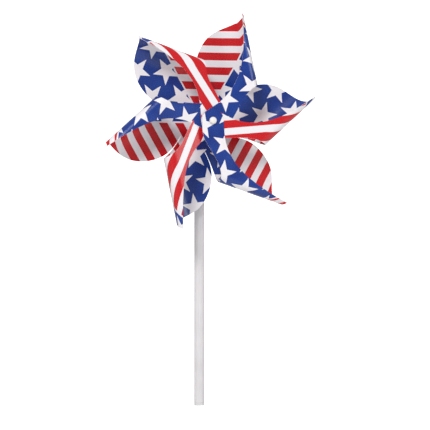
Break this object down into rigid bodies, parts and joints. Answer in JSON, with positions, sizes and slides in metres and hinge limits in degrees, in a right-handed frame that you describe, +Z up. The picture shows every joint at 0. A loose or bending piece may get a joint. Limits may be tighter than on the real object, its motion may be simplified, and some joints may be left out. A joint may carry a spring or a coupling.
{
  "type": "toy pinwheel",
  "caption": "Hand-held toy pinwheel: printed film wheel of curled vanes that spins on a pin through the top of a plastic stick.",
  "frame": {"origin": "centre of the stick's lower end", "axes": "+Z up along the stick, wheel faces -Y, +X to the viewer's right"},
  "size_m": [0.13, 0.0344, 0.2334],
  "materials": {
    "film_wheel": "printed pearly film, stars on blue and red and white stripes on both faces",
    "hub_tube": "white moulded",
    "pin": "white moulded, domed head",
    "rear_collar": "white moulded",
    "back_cap": "white moulded",
    "stick": "white extruded tube, satin",
    "end_plug": "white moulded"
  },
  "bodies": {
    "stand": {"stick": "stick", "end_plug": "end_plug", "pin": "pin", "rear_collar": "rear_collar", "back_cap": "back_cap"},
    "wheel": {"film_wheel": "film_wheel", "hub_tube": "hub_tube"}
  },
  "joints": [
    {"name": "wheel_spin", "type": "hinge", "parent": "stand", "child": "wheel", "pos_m": [0, -0.0082, 0.169], "axis": [0, -1, 0], "continuous": true}
  ]
}
